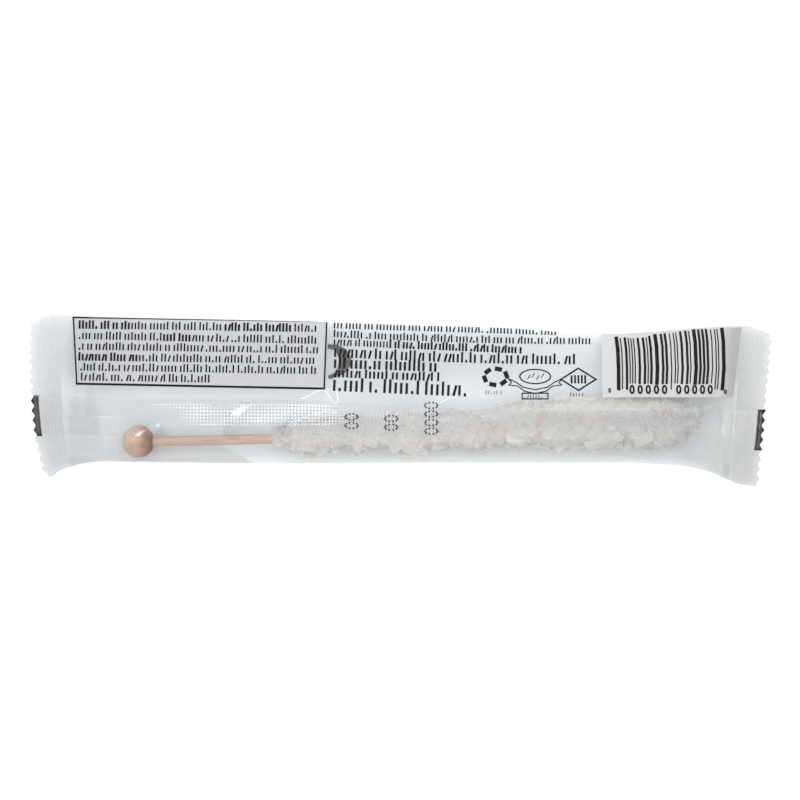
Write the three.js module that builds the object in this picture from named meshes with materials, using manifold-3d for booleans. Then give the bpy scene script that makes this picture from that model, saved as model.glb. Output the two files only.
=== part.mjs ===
// A rock candy stick sealed in a clear film pillow pack, lying on its front with the back seam up.
//
// The pack is one piece of film: a tube drawn round the candy, its two long edges sealed together
// into a fin that lies folded down along the back, and each end crimped flat and cut with a zigzag
// knife. Here it is one closed solid of that outer form. Under the film, the candy roll lies
// along the -Y side with its wooden handle towards -X, and the slack of the tube makes a flatter
// wedge along the +Y side.
//
// Millimetres. +X runs along the pack, away from the handle's end; +Z is up, out of the back.
// The origin is at the middle of the underside of the bounding box.

import * as THREE from 'three';
import { mergeVertices } from 'three/addons/utils/BufferGeometryUtils.js';
import Module from 'manifold-3d';

// ---- Driving dimensions ----

const LENGTH = 210; // tip to tip of the zigzag ends
const SEAL_WIDTH = 9; // crimped band at each end
const SEAL_THICKNESS = 0.6; // both layers of film, with the body that the crimping gives them
const SEAL_HEIGHT = 3.9; // the crimped ends hang this far above the table
const SEAL_WAVE = 0.7; // height of the slow wave across a crimped end
const SEAL_WAVE_LENGTH = 42;
const SEAL_WAVE_SHIFT = 4; // the two ends wave out of step by twice this
const CRIMP_PITCH = 1.5; // ridges parallel to the cut
const CRIMP_DEPTH = 0.16; // the ridges push both layers up and down by this
const TOOTH_PITCH = 2.75; // zigzag knife
const TOOTH_DEPTH = 0.9;
const KNIFE_REACH = 30.5; // the knife runs this far past the middle on both sides
const CUT_REACH = 26; // how far in from an end the slant of its cut dies away
const FIN_THICKNESS = 0.5; // back seam, folded flat
const FIN_ROOT = 0.6; // how deep the fin's strip is sunk into the body before they are fused
const FIN_HEM = 0.2; // the fin's long edges are rounded over this width

const AROUND = 20; // facets across the back, and again across the front
const BODY_STEP = 6.2; // longest step between sections along the body
const SHOULDER_STEP = 1.9; // and where the body flattens into an end
const SHOULDER = 24; // length of that flattening
const FIN_FACETS = 4; // facets across the fin
const WELD = 1e-4; // corners closer than this are one corner

const HALF = LENGTH / 2;
const SEAM = HALF - SEAL_WIDTH; // |x| where the crimped band starts
const FLAT = SEAL_THICKNESS / 2; // radius of the film's two folds in a crimped end
const EDGE = HALF + 1; // the sections run past the knife's cut

// ---- Profiles: a smooth value along one axis, through a few stations ----

// Monotone cubic through [position, value] stations, level beyond the first and the last.
function profile(stations) {
  const at = stations.map(([p]) => p);
  const value = stations.map(([, v]) => v);
  const slope = at.map((p, i) => {
    if (i === 0 || i === at.length - 1) return 0;
    const before = (value[i] - value[i - 1]) / (p - at[i - 1]);
    const after = (value[i + 1] - value[i]) / (at[i + 1] - p);
    return before * after > 0 ? (2 * before * after) / (before + after) : 0;
  });
  return (p) => {
    if (p <= at[0]) return value[0];
    const i = at.findIndex((next) => next >= p) - 1;
    if (i < 0) return value[value.length - 1];
    const span = at[i + 1] - at[i];
    const t = (p - at[i]) / span;
    const u = 1 - t;
    return (
      value[i] * u * u * (1 + 2 * t) +
      value[i + 1] * t * t * (1 + 2 * u) +
      span * t * u * (slope[i] * u - slope[i + 1] * t)
    );
  };
}

// Outline seen from above: the fold along each long side.
const lowFold = profile([
  [-104, -21.7], [-100, -20.2], [-96, -18.9], [-91, -17.9], [-84, -17.3], [-40, -17.8], [0, -17.6],
  [60, -17.5], [76, -18.2], [82, -18.9], [90, -20.9], [94, -22.3], [98, -23.5], [103, -24.2],
]);
const highFold = profile([
  [-105, 22.4], [-99, 24.1], [-85, 23.5], [-56, 22.9], [-28, 22.3], [0, 21.3], [28, 20.5],
  [58, 18.7], [70, 19.2], [84, 20.4], [97, 21], [101, 20.1], [105, 18.9],
]);

// Where the knife cuts the tube across, as x over y. The ends are pulled askew by the load.
const leftCut = profile([
  [-22.5, -99.8], [-20, -101.1], [-15.8, -102.2], [-10.7, -103.3], [-5.8, -103.9], [2, -104.4],
  [11, -104.8], [16, -105],
]);
const rightCut = profile([
  [-22.5, 101.3], [-16.6, 101.8], [-11, 102.4], [0, 103.3], [11, 104.5], [18, 105],
]);

// Cross-section: the film is a belt round two folds, the wide one round the candy and the stick
// and the narrow one at the end of the slack.
const rollRadius = profile([
  [-SEAM, FLAT], [-90, 1.9], [-83, 4.2], [-74, 5.1], [-58, 5], [-42, 5.7], [-31, 6.8],
  [-18, 7.5], [-2, 7.3], [14, 7.7], [30, 7.4], [46, 8.1], [62, 7.8], [74, 7.3], [84, 5.6],
  [91, 2.6], [SEAM, FLAT],
]);
const slackRadius = profile([
  [-SEAM, FLAT], [-86, 1.6], [-74, 2.8], [-40, 3.1], [10, 2.9], [50, 3.1], [78, 2.7], [89, 1.4],
  [SEAM, FLAT],
]);
// Height of the film's underside: on the table along the body, lifted to the crimped ends.
const lift = profile([
  [-SEAM, SEAL_HEIGHT - FLAT], [-87, 1.7], [-76, 0], [78, 0], [89, 1.8], [SEAM, SEAL_HEIGHT - FLAT],
]);
// Air holds the back up in a low crown between its two folds.
const crown = profile([
  [-SEAM, 0], [-86, 1.5], [-72, 2.6], [-48, 2.4], [-22, 1.1], [30, 0.8], [66, 1.2], [82, 2.8],
  [91, 1.4], [SEAM, 0],
]);

// The back seam's fin, from its root to its free edge.
const finHigh = profile([
  [-104, 1.4], [-76, 0.2], [-33, 0], [0, -1.7], [40, -2.5], [82, -2.5], [102, -2.8],
]);
const finLow = profile([
  [-104, -9.3], [-76, -10.1], [-33, -10.1], [0, -8.8], [40, -8.7], [80, -8.6], [92, -10.5],
  [102, -14.1],
]);

// ---- The film tube ----

// Stations along X: every half ridge in the crimped ends, close steps in the shoulders.
function stations() {
  const steps = [
    [-EDGE, -SEAM, CRIMP_PITCH / 2],
    [-SEAM, -SEAM + SHOULDER, SHOULDER_STEP],
    [-SEAM + SHOULDER, SEAM - SHOULDER, BODY_STEP],
    [SEAM - SHOULDER, SEAM, SHOULDER_STEP],
    [SEAM, EDGE, CRIMP_PITCH / 2],
  ];
  return steps.flatMap(([from, to, step], part) => {
    const count = Math.round((to - from) / step);
    const last = part === steps.length - 1 ? 1 : 0;
    return Array.from({ length: count + last }, (_, i) => from + ((to - from) * i) / count);
  });
}

// Points on a belt round circle a and circle b, along its upper or its lower side, from a's outer
// end to b's. They crowd towards both ends, where the film bends most.
function beltSide(a, b, upper) {
  const apart = Math.hypot(b.y - a.y, b.z - a.z);
  const lean = Math.atan2(b.z - a.z, b.y - a.y);
  const turn = Math.acos((a.r - b.r) / apart);
  const touch = lean + (upper ? turn : -turn);
  const path = new THREE.Path();
  path.absarc(a.y, a.z, a.r, upper ? Math.PI : -Math.PI, touch, upper);
  path.lineTo(b.y + b.r * Math.cos(touch), b.z + b.r * Math.sin(touch));
  path.absarc(b.y, b.z, b.r, touch, 0, upper);
  return Array.from({ length: AROUND + 1 }, (_, i) =>
    path.getPointAt((1 - Math.cos((Math.PI * i) / AROUND)) / 2),
  );
}

// How far the cut at each end drags the film along X, at height y of the outline.
function drag(x, y) {
  const near = (end) => THREE.MathUtils.smoothstep(CUT_REACH - Math.abs(end - x), 0, CUT_REACH);
  return near(-HALF) * (leftCut(y) + HALF) + near(HALF) * (rightCut(y) - HALF);
}

// Height that the ridges and the slow wave of a crimped end add, none outside it.
function crimp(x, y) {
  const inside = Math.abs(x) - SEAM;
  const share = THREE.MathUtils.smoothstep(inside, -SHOULDER / 2, SEAL_WIDTH / 2);
  const phase = (y + Math.sign(x) * SEAL_WAVE_SHIFT) / SEAL_WAVE_LENGTH;
  const wave = SEAL_WAVE * share * Math.cos(2 * Math.PI * phase);
  const ridge = inside > 0 ? CRIMP_DEPTH * Math.cos((2 * Math.PI * inside) / CRIMP_PITCH) : 0;
  return wave + ridge;
}

// One section of the tube at station x: its upper and lower sides as lists of points.
function section(x) {
  const roll = { r: rollRadius(x) };
  const slack = { r: slackRadius(x) };
  roll.y = lowFold(x) + roll.r;
  slack.y = highFold(x) - slack.r;
  roll.z = lift(x) + roll.r;
  slack.z = lift(x) + slack.r;
  const place = (p, raise) => new THREE.Vector3(x + drag(x, p.x), p.x, p.y + raise + crimp(x, p.x));
  const span = highFold(x) - lowFold(x);
  return {
    upper: beltSide(roll, slack, true).map((p) =>
      place(p, crown(x) * Math.sin((Math.PI * (p.x - lowFold(x))) / span) ** 2),
    ),
    lower: beltSide(roll, slack, false).map((p) => place(p, 0)),
  };
}

// Skins a closed tube of rings, each a list of as many points, with a cap across each end.
function skin(uppers, lowers) {
  const columns = uppers[0].length - 1;
  const rings = uppers.map((upper, i) => [...upper, ...lowers[i].slice(1, -1).reverse()]);
  const around = rings[0].length;
  const geometry = new THREE.BufferGeometry();
  geometry.setAttribute('position', new THREE.Float32BufferAttribute(
    rings.flat().flatMap((p) => p.toArray()), 3,
  ));
  const index = [];
  const triangle = (...corners) => {
    if (new Set(corners).size === corners.length) index.push(...corners);
  };
  const quad = (a, b, c, d) => {
    triangle(a, b, c);
    triangle(a, c, d);
  };
  for (let i = 0; i < rings.length - 1; i++) {
    for (let j = 0; j < around; j++) {
      const next = (j + 1) % around;
      quad(i * around + j, (i + 1) * around + j, (i + 1) * around + next, i * around + next);
    }
  }
  for (const ring of [0, rings.length - 1]) {
    const top = (j) => ring * around + j;
    const bottom = (j) => ring * around + (j % columns === 0 ? j : around - j);
    for (let j = 0; j < columns; j++) {
      if (ring === 0) quad(top(j), top(j + 1), bottom(j + 1), bottom(j));
      else quad(top(j), bottom(j), bottom(j + 1), top(j + 1));
    }
  }
  geometry.setIndex(index);
  return geometry;
}

function tube() {
  const sections = stations().map(section);
  return skin(sections.map((s) => s.upper), sections.map((s) => s.lower));
}

// ---- The back seam's fin ----

// The point where a side of a section, as a list of points, passes the height y of the outline.
function across(side, y) {
  const j = side.findIndex((p) => p.y >= y);
  const [a, b] = [side[j - 1], side[j]];
  return a.clone().lerp(b, (y - a.y) / (b.y - a.y));
}

// A strip along the back, partly sunk into it, from the fin's free edge to its root. Each of its
// long edges is rounded to a line.
function fin() {
  const upper = [];
  const lower = [];
  for (const x of stations()) {
    const { upper: back, lower: front } = section(x);
    const raised = (y, by) => across(back, y).add(new THREE.Vector3(0, 0, by));
    const sunk = (y) => {
      const room = across(back, y).z - across(front, y).z;
      return raised(y, -Math.min(FIN_ROOT, room / 2));
    };
    const ys = Array.from({ length: FIN_FACETS + 1 }, (_, i) =>
      THREE.MathUtils.lerp(finLow(x), finHigh(x), i / FIN_FACETS),
    );
    const freeEdge = raised(finLow(x) - FIN_HEM, FIN_THICKNESS / 2);
    const rootEdge = raised(finHigh(x) + FIN_HEM, FIN_THICKNESS / 2);
    upper.push([freeEdge, ...ys.map((y) => raised(y, FIN_THICKNESS)), rootEdge]);
    lower.push([freeEdge, ...ys.map(sunk), rootEdge]);
  }
  return skin(upper, lower);
}

// ---- The zigzag knife ----

// The blank of film between the two zigzag cuts, as a slab far thicker than the pack.
function blank() {
  const corner = (cut, k, inward) => {
    const y = -KNIFE_REACH + (k * TOOTH_PITCH) / 2;
    return new THREE.Vector2(cut(y) + (k % 2) * inward * TOOTH_DEPTH, y);
  };
  const corners = Math.ceil((4 * KNIFE_REACH) / TOOTH_PITCH) + 1;
  const right = Array.from({ length: corners }, (_, k) => corner(rightCut, k, -1));
  const left = Array.from({ length: corners }, (_, k) => corner(leftCut, k, 1));
  const shape = new THREE.Shape([...right, ...left.reverse()]);
  return new THREE.ExtrudeGeometry(shape, { depth: 2 * KNIFE_REACH, bevelEnabled: false })
    .translate(0, 0, -KNIFE_REACH);
}

// ---- Booleans ----

const wasm = await Module();
wasm.setup();

function toSolid(geometry) {
  const bare = geometry.clone();
  bare.deleteAttribute('normal');
  bare.deleteAttribute('uv');
  const merged = mergeVertices(bare, WELD);
  return new wasm.Manifold(new wasm.Mesh({
    numProp: 3,
    vertProperties: merged.attributes.position.array,
    triVerts: new Uint32Array(merged.index.array),
  }));
}

function toGeometry(solid) {
  const mesh = solid.getMesh();
  const geometry = new THREE.BufferGeometry();
  geometry.setAttribute('position', new THREE.BufferAttribute(mesh.vertProperties, 3));
  geometry.setIndex(new THREE.BufferAttribute(mesh.triVerts, 1));
  geometry.computeVertexNormals();
  return geometry;
}

// ---- The object ----

const wrapper = new THREE.Mesh(
  toGeometry(toSolid(tube()).add(toSolid(fin())).intersect(toSolid(blank()))),
  new THREE.MeshStandardMaterial({
    color: 0xd6d9db, roughness: 0.22, metalness: 0, transparent: true, opacity: 0.45,
  }),
);
wrapper.name = 'wrapper';

// Sets the origin at the middle of the underside.
const bounds = new THREE.Box3().setFromObject(wrapper);
const centre = bounds.getCenter(new THREE.Vector3());
wrapper.position.set(-centre.x, -centre.y, -bounds.min.z);

const candy = new THREE.Group();
candy.add(wrapper);

export default candy;
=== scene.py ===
"""A rock candy stick sealed in a clear film pillow pack, lying on its front with the back seam up.

The film is a tube drawn round the candy. Its long seam stands as a knurled fin folded flat along the
back, and both ends are crimped flat and cut with a zigzag knife. Through it show the turned wooden
handle and the sugar crystals, and the back carries plain panels and marks in black and white ink.

Sizes are in millimetres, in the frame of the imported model, and go into Blender's metres by MM.
"""

import math

import bpy
import numpy as np
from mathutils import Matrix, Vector


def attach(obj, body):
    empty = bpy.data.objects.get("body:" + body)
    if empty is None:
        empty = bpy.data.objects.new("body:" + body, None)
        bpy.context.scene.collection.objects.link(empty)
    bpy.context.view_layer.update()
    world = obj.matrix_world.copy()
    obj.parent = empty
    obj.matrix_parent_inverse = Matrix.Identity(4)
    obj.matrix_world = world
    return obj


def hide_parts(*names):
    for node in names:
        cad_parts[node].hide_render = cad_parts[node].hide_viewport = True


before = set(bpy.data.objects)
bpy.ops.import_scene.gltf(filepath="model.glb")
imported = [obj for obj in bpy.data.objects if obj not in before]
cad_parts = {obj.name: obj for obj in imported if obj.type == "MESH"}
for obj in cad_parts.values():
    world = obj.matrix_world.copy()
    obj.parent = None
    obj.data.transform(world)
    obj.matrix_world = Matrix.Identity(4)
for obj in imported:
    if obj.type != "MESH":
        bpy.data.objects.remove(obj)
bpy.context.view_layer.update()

MM = 0.001
NODE = "wrapper"

# ---- The pack's sizes ----

HALF = 105.0  # half the length, over the tips of the zigzag
SEAL_WIDTH = 9.0
SEAM = HALF - SEAL_WIDTH  # |x| where the crimped bands start
SEAL_HEIGHT = 3.9  # the crimped ends hang this far above the table
FLAT = 0.07  # radius of the film's folds in a crimped end
SEAL_WAVE = 0.7
SEAL_WAVE_LENGTH = 42.0
SEAL_WAVE_SHIFT = 4.0
CRIMP_PITCH = 1.0
CRIMP_DEPTH = 0.09
SHOULDER = 24.0  # length over which the body flattens into an end
TOOTH_PITCH = 2.75
TOOTH_DEPTH = 0.9
KNIFE_REACH = 30.5
CUT_REACH = 26.0  # how far in from an end the slant of its cut dies away

KNURL_PITCH = 0.95
KNURL_DEPTH = 0.04
KNURL_STEPS = 4  # mesh steps over one pitch of the knurl
KNURL_ROWS = 11
KNURL_SHARE = 0.8  # of the fin's width, from its root, that the roller has pressed
FIN_FROM, FIN_TO = -103.6, 102.0
FIN_GAP = 0.12  # between the back and the fin that lies on it
FIN_FLAP = 0.35  # how far its free edge lifts
FIN_THICKNESS = 0.1

STICK_RADIUS = 1.42
BALL_RADIUS = 4.5
BALL_X = -73.8
STICK_END = 80.0
SOCKET_RADIUS = 2.2  # the countersunk hole that the stick sits in
SOCKET_DEPTH = 1.3
CANDY_START, CANDY_END = -36.2, 84.0
CORE_END = 82.5

SEED = 20


def profile(stations):
    """A monotone cubic through (position, value) stations, level beyond the first and the last."""
    at, value = (np.array(column, dtype=float) for column in zip(*stations))
    step = np.diff(value) / np.diff(at)
    both = step[:-1] * step[1:]
    slope = np.zeros(len(at))
    rising = both > 0
    slope[1:-1][rising] = 2 * both[rising] / (step[:-1] + step[1:])[rising]

    def curve(p):
        p = np.clip(p, at[0], at[-1])
        i = np.clip(np.searchsorted(at, p) - 1, 0, len(at) - 2)
        span = at[i + 1] - at[i]
        t = (p - at[i]) / span
        u = 1 - t
        return (
            value[i] * u * u * (1 + 2 * t)
            + value[i + 1] * t * t * (1 + 2 * u)
            + span * t * u * (slope[i] * u - slope[i + 1] * t)
        )

    return curve


def smooth(p, low, high):
    """0 below low, 1 above high, and a smooth step between them."""
    t = np.clip((np.asarray(p, dtype=float) - low) / (high - low), 0, 1)
    return t * t * (3 - 2 * t)


# The outline seen from above: the fold along each long side.
low_fold = profile([
    (-104, -21.7), (-100, -20.2), (-96, -18.9), (-91, -17.9), (-84, -17.3), (-40, -17.8), (0, -17.6),
    (60, -17.5), (76, -18.2), (82, -18.9), (90, -20.9), (94, -22.3), (98, -23.5), (103, -24.2),
])
high_fold = profile([
    (-105, 22.4), (-99, 24.1), (-85, 23.5), (-56, 22.9), (-28, 22.3), (0, 21.3), (28, 20.5),
    (58, 18.7), (70, 19.2), (84, 20.4), (97, 21), (101, 20.1), (105, 18.9),
])
# Where the knife cuts the tube across, as x over y.
left_cut = profile([
    (-22.5, -99.8), (-20, -101.1), (-15.8, -102.2), (-10.7, -103.3), (-5.8, -103.9), (2, -104.4),
    (11, -104.8), (16, -105),
])
right_cut = profile([
    (-22.5, 101.3), (-16.6, 101.8), (-11, 102.4), (0, 103.3), (11, 104.5), (18, 105),
])
# The film is a belt round two folds, a wide one round the candy and a narrow one at the slack.
roll_radius = profile([
    (-SEAM, FLAT), (-90, 1.9), (-83, 4.2), (-74, 5.1), (-58, 5), (-42, 5.7), (-31, 6.8),
    (-18, 7.5), (-2, 7.3), (14, 7.7), (30, 7.4), (46, 8.1), (62, 7.8), (74, 7.3), (84, 5.6),
    (91, 2.6), (SEAM, FLAT),
])
slack_radius = profile([
    (-SEAM, FLAT), (-86, 1.6), (-74, 2.8), (-40, 3.1), (10, 2.9), (50, 3.1), (78, 2.7), (89, 1.4),
    (SEAM, FLAT),
])
lift = profile([
    (-SEAM, SEAL_HEIGHT - FLAT), (-87, 1.7), (-76, 0.05), (78, 0.05), (89, 1.8),
    (SEAM, SEAL_HEIGHT - FLAT),
])
crown = profile([
    (-SEAM, 0), (-86, 1.5), (-72, 2.6), (-48, 2.4), (-22, 1.1), (30, 0.8), (66, 1.2), (82, 2.8),
    (91, 1.4), (SEAM, 0),
])
# The back seam's fin, from its root to its free edge.
fin_high = profile([
    (-104, 1.4), (-76, 0.2), (-33, 0), (0, -1.7), (40, -2.5), (82, -2.5), (102, -2.8),
])
fin_low = profile([
    (-104, -9.3), (-76, -10.1), (-33, -10.1), (0, -8.8), (40, -8.7), (80, -8.6), (92, -10.5),
    (102, -14.1),
])


# ---- The film's surface ----


def drag(x, y):
    """How far the cut at each end drags the film along X, at height y of the outline."""
    left = smooth(CUT_REACH - np.abs(-HALF - x), 0, CUT_REACH)
    right = smooth(CUT_REACH - np.abs(HALF - x), 0, CUT_REACH)
    return left * (left_cut(y) + HALF) + right * (right_cut(y) - HALF)


def station(along, y):
    """The station x of the film that drag moves to this place along X."""
    x = along
    for _ in range(6):
        x = along - drag(x, y)
    return x


def crimp(x, y):
    """Height of the slow wave and the ridges of a crimped end."""
    inside = np.abs(x) - SEAM
    share = smooth(inside, -SHOULDER / 2, SEAL_WIDTH / 2)
    phase = (y + np.sign(x) * SEAL_WAVE_SHIFT) / SEAL_WAVE_LENGTH
    ridge = np.where(inside > 0, CRIMP_DEPTH * np.cos(2 * np.pi * inside / CRIMP_PITCH), 0)
    return SEAL_WAVE * share * np.cos(2 * np.pi * phase) + ridge


def belt(x, y, upper):
    """Height of the upper or lower side of the smooth tube at station x and outline height y."""
    r1, r2, base = roll_radius(x), slack_radius(x), lift(x)
    y1, y2 = low_fold(x) + r1, high_fold(x) - r2
    arc1 = np.sqrt(np.maximum(r1**2 - (y - y1) ** 2, 0))
    arc2 = np.sqrt(np.maximum(r2**2 - (y - y2) ** 2, 0))
    if not upper:
        return base + np.where(y < y1, r1 - arc1, np.where(y > y2, r2 - arc2, 0))
    touch = np.pi / 2 - 2 * np.arcsin((r1 - r2) / np.hypot(y2 - y1, r2 - r1))
    t1, t2 = y1 + r1 * np.cos(touch), y2 + r2 * np.cos(touch)
    z1, z2 = r1 * (1 + np.sin(touch)), r2 * (1 + np.sin(touch))
    straight = z1 + (z2 - z1) * (y - t1) / (t2 - t1)
    top = np.where(y < t1, r1 + arc1, np.where(y > t2, r2 + arc2, straight))
    span = high_fold(x) - low_fold(x)
    bulge = np.sin(np.pi * np.clip((y - low_fold(x)) / span, 0, 1)) ** 2
    return base + top + crown(x) * bulge


# Creases in the back, each as (height, half width of its steep left side, the points along its crest).
CREASES = (
    (0.4, 0.9, ((-31.6, -0.4), (-26.5, 0.9), (-21.0, 3.4))),
    (0.55, 0.8, ((-20.6, 4.2), (-19.4, 1.8), (-17.9, -0.9))),
    (0.4, 0.8, ((-18.3, 4.4), (-17.6, 1.8), (-17.6, -0.8))),
    (1.5, 2.1, ((-33.5, -8.4), (-25.5, -6.2), (-16.0, -3.3))),
    (2.1, 2.9, ((-48.4, -10.6), (-45.6, -4.8), (-41.0, -1.0))),
    (1.3, 1.7, ((-69.4, -10.2), (-66.5, -5.5))),
    (0.3, 0.9, ((-19.8, 13.4), (-19.0, 8.0), (-18.2, 4.6))),
    (0.4, 1.0, ((10.6, -1.6), (16.0, 1.6), (21.5, 2.9), (33.7, 3.0))),
    (0.5, 0.9, ((82.0, -3.4), (88.0, -2.2), (94.0, -0.4))),
    (0.4, 0.9, ((75.0, -15.0), (75.6, -12.6), (76.4, -10.4))),
    (0.3, 0.8, ((86.6, -16.1), (89.8, -16.4), (88.4, -18.8))),
    (0.25, 0.8, ((-95.6, 22.6), (-94.2, 18.6))),
    (1.4, 1.8, ((-76.8, -14.2), (-69.9, -6.9))),
    (0.4, 0.8, ((-80.8, -16.0), (-79.4, -13.8))),
    (0.35, 0.7, ((-87.8, -15.6), (-86.4, -14.2))),
)
CREASE_POWER = 1.2
CREASE_LEE = 2.2  # a crease's right side is this many times as wide as its left
PUCKER_SEED = 3
PUCKERS = 9  # short creases that run in from each end
PUCKER_FROM, PUCKER_SPAN = -17, 36  # lowest y, and how far they spread from it
PUCKER_REACH = (5, 14)
PUCKER_HEIGHT = 0.22
PUCKER_WIDTH = 1.1
RIPPLE = 0.05  # height of the uneven film between its creases


def ridge(x, y, height, width, path):
    """Height of a crease that runs through the path's points and dies away at both ends."""
    best = np.full(np.shape(x), np.inf)
    along = np.zeros(np.shape(x))
    segments = len(path) - 1
    for i, (a, b) in enumerate(zip(path, path[1:])):
        run = np.subtract(b, a)
        t = ((x - a[0]) * run[0] + (y - a[1]) * run[1]) / (run @ run)
        t = np.clip(t, 0, 1)
        off_x, off_y = x - a[0] - t * run[0], y - a[1] - t * run[1]
        far = np.hypot(off_x, off_y) / np.where(run[0] * off_y < run[1] * off_x, CREASE_LEE, 1)
        nearer = far < best
        best = np.where(nearer, far, best)
        along = np.where(nearer, (i + t) / segments, along)
    taper = np.sqrt(np.sin(np.pi * np.clip(along, 0, 1)))
    return height * taper * np.clip(1 - best / width, 0, 1) ** CREASE_POWER


def pucker_paths():
    """Short creases that run from each crimped band towards the load."""
    draw = np.random.default_rng(PUCKER_SEED)
    paths = []
    for side in (-1, 1):
        for k in range(PUCKERS):
            y = PUCKER_FROM + PUCKER_SPAN * (k + draw.uniform(0.2, 0.8)) / PUCKERS
            reach = draw.uniform(*PUCKER_REACH)
            x = side * (SEAM + 0.5)
            bend = -0.25 * (y + 8) / 25 * reach
            height = PUCKER_HEIGHT * draw.uniform(0.4, 1)
            end = (x - side * reach, y + bend)
            paths.append((height, PUCKER_WIDTH, ((x + side * reach * 0.3, y), (x, y), end)))
    return paths


ALL_CREASES = list(CREASES) + pucker_paths()


def folds(x, y):
    """All the creases of the back, which die away towards the two long folds."""
    inward = np.minimum(y - low_fold(x), high_fold(x) - y)
    rise = sum(ridge(x, y, *crease) for crease in ALL_CREASES)
    ripple = RIPPLE * np.sin(x / 5.1 + 0.23 * y) * np.sin(x / 8.3 - y / 3.9 + 1)
    return (rise + ripple) * smooth(inward, 0, 3)


def back(x, y):
    """Height of the film's back at station x and outline height y."""
    return belt(x, y, True) + crimp(x, y) + folds(x + drag(x, y), y) * smooth(SEAM - np.abs(x), -3, 1)


def front(x, y):
    """Height of the film's front, which lies on the table."""
    return belt(x, y, False) + crimp(x, y)


def on_back(x, y, above=0.0):
    """Points on the back at places seen from above, each as far above it as asked."""
    x, y = np.broadcast_arrays(np.asarray(x, dtype=float), np.asarray(y, dtype=float))
    return np.stack([x, y, back(station(x, y), y) + above], axis=-1)


# ---- Meshes ----


def add_object(name, data):
    """A new object in the scene."""
    made = bpy.data.objects.new(name, data)
    bpy.context.scene.collection.objects.link(made)
    return made


def piece(name, verts, faces, look, flat=False):
    """A piece that rides on the pack's body and stands for its solid, from corners in millimetres."""
    mesh = bpy.data.meshes.new(name)
    mesh.from_pydata((np.asarray(verts).reshape(-1, 3) * MM).tolist(), [], faces)
    mesh.validate()
    mesh.polygons.foreach_set("use_smooth", [not flat] * len(mesh.polygons))
    mesh.materials.append(look)
    made = add_object(name, mesh)
    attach(made, "root")
    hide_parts(NODE)


def circle(sides):
    """Evenly spaced angles, once round."""
    return np.linspace(0, 2 * np.pi, sides, endpoint=False)


def grid_faces(rows, columns, first=0, flip=False):
    """Quads of a grid of points stored row by row."""
    index = first + np.arange(rows * columns).reshape(rows, columns)
    quads = np.stack([index[:-1, :-1], index[1:, :-1], index[1:, 1:], index[:-1, 1:]], axis=-1)
    quads = quads.reshape(-1, 4)
    return (quads[:, ::-1] if flip else quads).tolist()


def tube_faces(rows, columns, capped=False):
    """Quads of rings of points, each ring closed on itself, and a face over each end if capped."""
    index = np.arange(rows * columns).reshape(rows, columns)
    after = np.roll(index, -1, axis=1)
    quads = np.stack([index[:-1], index[1:], after[1:], after[:-1]], axis=-1)
    caps = [index[0].tolist(), index[-1, ::-1].tolist()] if capped else []
    return quads.reshape(-1, 4).tolist() + caps


# ---- Materials ----


def material(name):
    """A new material and its node tree, which is still empty."""
    made = bpy.data.materials.new(name)
    made.use_nodes = True
    made.node_tree.nodes.clear()
    return made, made.node_tree


def node(tree, kind, sockets=None, **settings):
    """A node with these settings and inputs: each a value, a node or one output of a node."""
    made = tree.nodes.new("ShaderNode" + kind)
    for key, value in settings.items():
        setattr(made, key, value)
    for key, value in (sockets or {}).items():
        if isinstance(value, bpy.types.Node):
            value = value.outputs[0]
        if isinstance(value, bpy.types.NodeSocket):
            tree.links.new(value, made.inputs[key])
        else:
            made.inputs[key].default_value = value
    return made


def noise(tree, size, detail=3.0, stretch=(1, 1, 1)):
    """Noise whose lumps are about that many millimetres across, drawn out along an axis."""
    place = node(tree, "TexCoord").outputs["Object"]
    scale = tuple(1 / (size * MM * s) for s in stretch)
    mapped = node(tree, "Mapping", {"Vector": place, "Scale": scale})
    return node(tree, "TexNoise", {"Vector": mapped, "Scale": 1.0, "Detail": detail})


def spread(tree, value, low, high, start=0.3, end=0.7):
    """The value's middle range stretched to run from low to high."""
    sockets = {"Value": value, "From Min": start, "From Max": end, "To Min": low, "To Max": high}
    return node(tree, "MapRange", sockets)


def ramp(tree, value, *stops):
    """A colour ramp through (position, colour) stops."""
    made = node(tree, "ValToRGB", {"Fac": value})
    elements = made.color_ramp.elements
    while len(elements) < len(stops):
        elements.new(0.5)
    for element, (position, colour) in zip(elements, stops):
        element.position = position
        element.color = (*colour, 1)
    return made


def bump(tree, height, strength, distance):
    """A normal roughened by a height, over a distance in millimetres."""
    sockets = {"Height": height, "Strength": strength, "Distance": distance * MM}
    return node(tree, "Bump", sockets)


def place_of(tree, axis):
    """The place along an axis, in metres, in the pack's frame."""
    place = node(tree, "TexCoord").outputs["Object"]
    return node(tree, "SeparateXYZ", {0: place}).outputs[axis]


def graded(tree, axis, low, high, first=0, last=1):
    """A value that runs from first to last between two places on an axis, in millimetres."""
    return spread(tree, place_of(tree, axis), first, last, low * MM, high * MM)


def shade_along(tree, low, high, *stops):
    """A colour that runs through stops from X at low to X at high, in millimetres."""
    return ramp(tree, graded(tree, "X", low, high), *stops)


def times(tree, colour, other):
    """Two colours multiplied."""
    return node(tree, "VectorMath", {0: colour, 1: other}, operation="MULTIPLY")


def maths(tree, operation, *values):
    """A Math node on these values or nodes."""
    return node(tree, "Math", dict(enumerate(values)), operation=operation)


def product(tree, first, *others):
    """Values multiplied together."""
    for other in others:
        first = maths(tree, "MULTIPLY", first, other)
    return first


def mix(tree, share, shader, other):
    """Two shaders mixed, with this share of the other."""
    return node(tree, "MixShader", {0: share, 1: shader, 2: other})


def finished(made, shader):
    """The material, with this shader as its surface."""
    node(made.node_tree, "OutputMaterial", {"Surface": shader})
    return made


def grey(shade):
    """A colour without a cast."""
    return (shade, shade, shade)


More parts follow.
